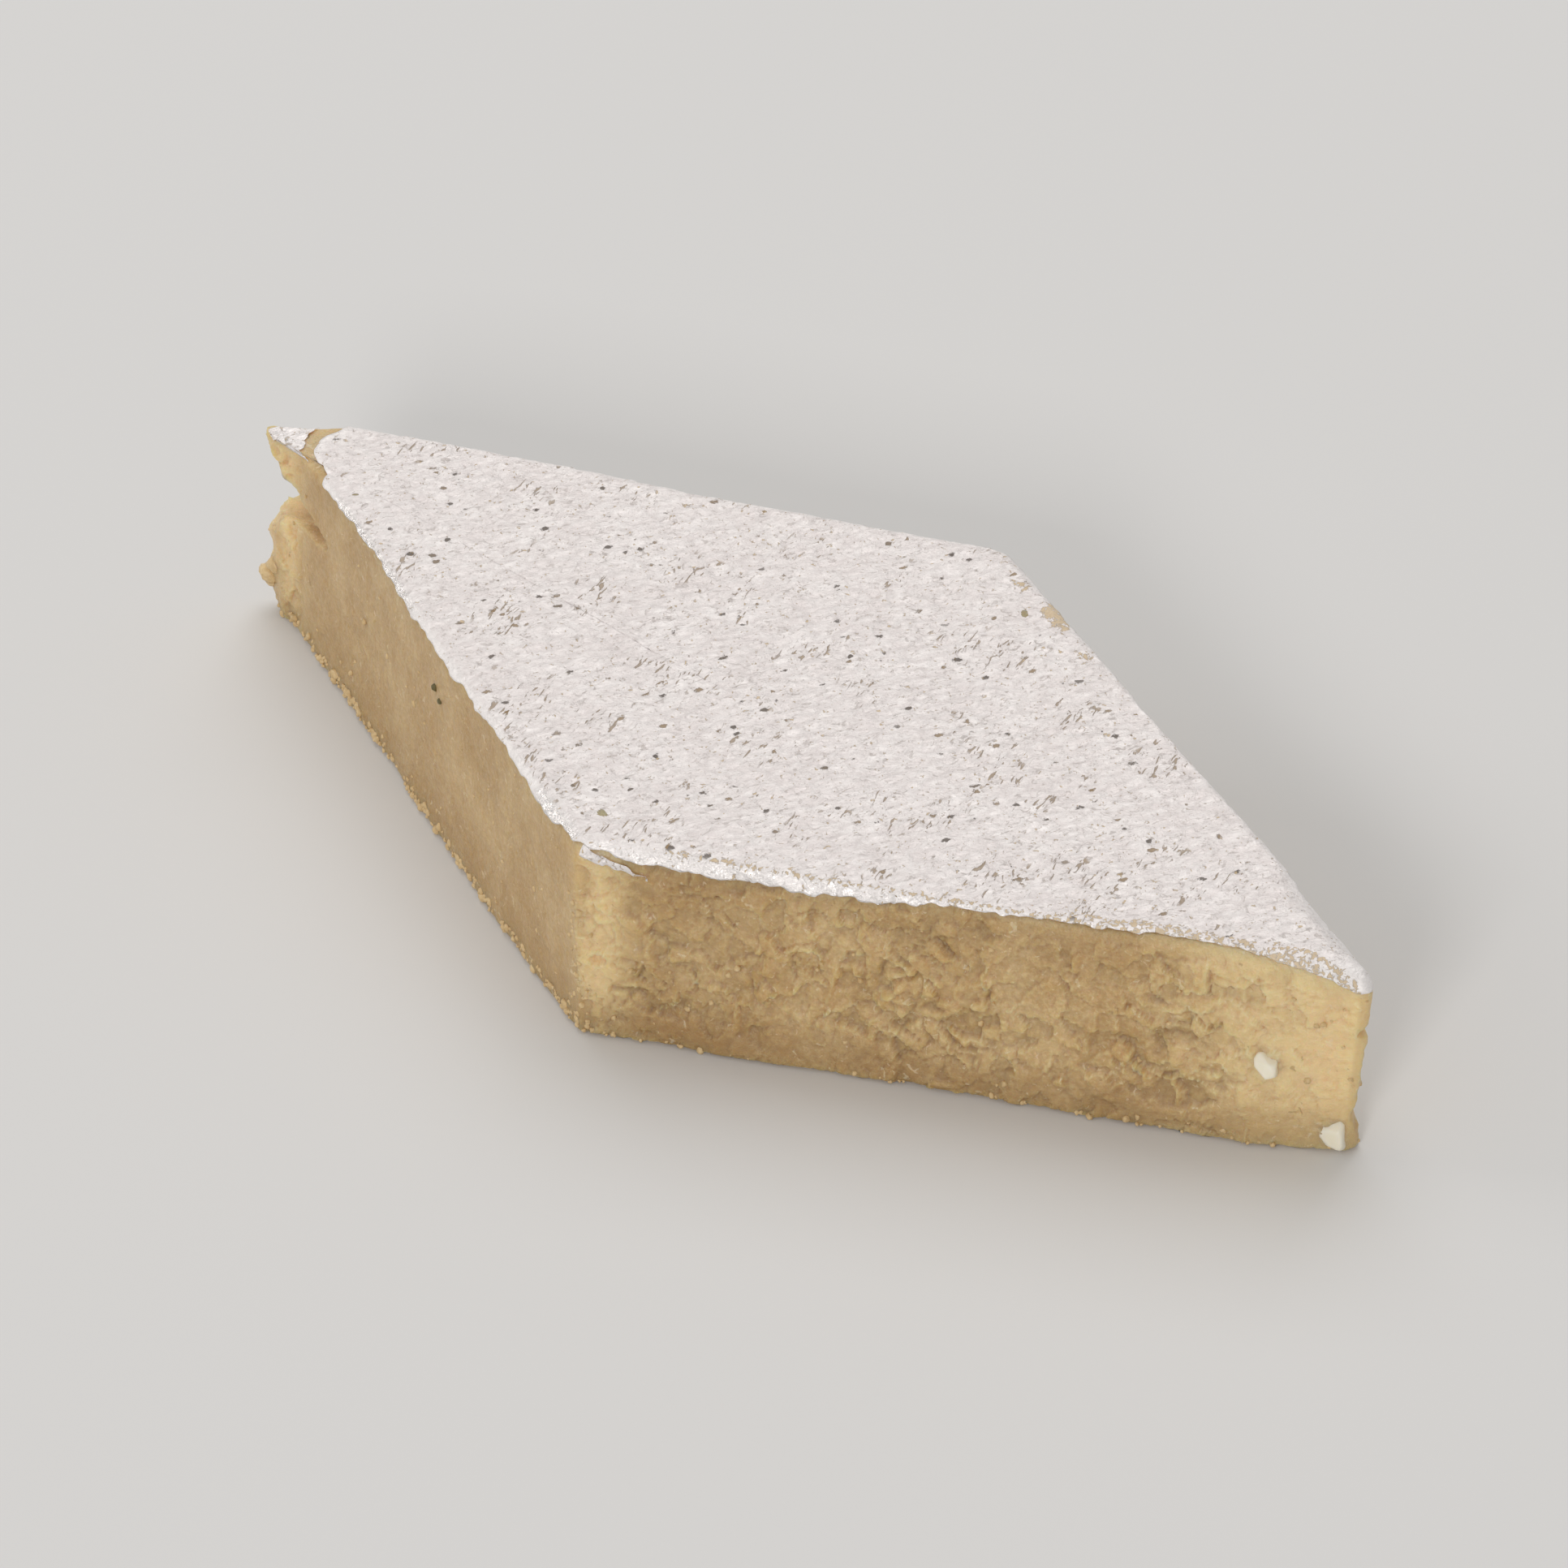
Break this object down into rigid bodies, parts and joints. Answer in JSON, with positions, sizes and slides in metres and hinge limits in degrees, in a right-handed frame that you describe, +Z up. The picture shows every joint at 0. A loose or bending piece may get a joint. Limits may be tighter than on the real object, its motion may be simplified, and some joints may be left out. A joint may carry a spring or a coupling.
{
  "type": "barfi piece",
  "caption": "Diamond-cut slab of cashew barfi with a sheet of edible silver leaf on top, crumbly cut sides and a chipped tip.",
  "frame": {"origin": "under the middle of the piece's bounding box, on the surface it rests on", "axes": "+Z up, +X along the long diagonal towards the smooth tip, +Y towards the blunt corner at the back"},
  "size_m": [0.0768, 0.0328, 0.0118],
  "materials": {
    "cashew_fudge": "matte, slightly translucent cashew paste with fine crumb",
    "silver_leaf": "very thin crumpled silver leaf, satin"
  },
  "bodies": {
    "root": {"cashew_fudge": "cashew_fudge", "silver_leaf": "silver_leaf", "leaf_scrap": "silver_leaf"}
  },
  "joints": []
}
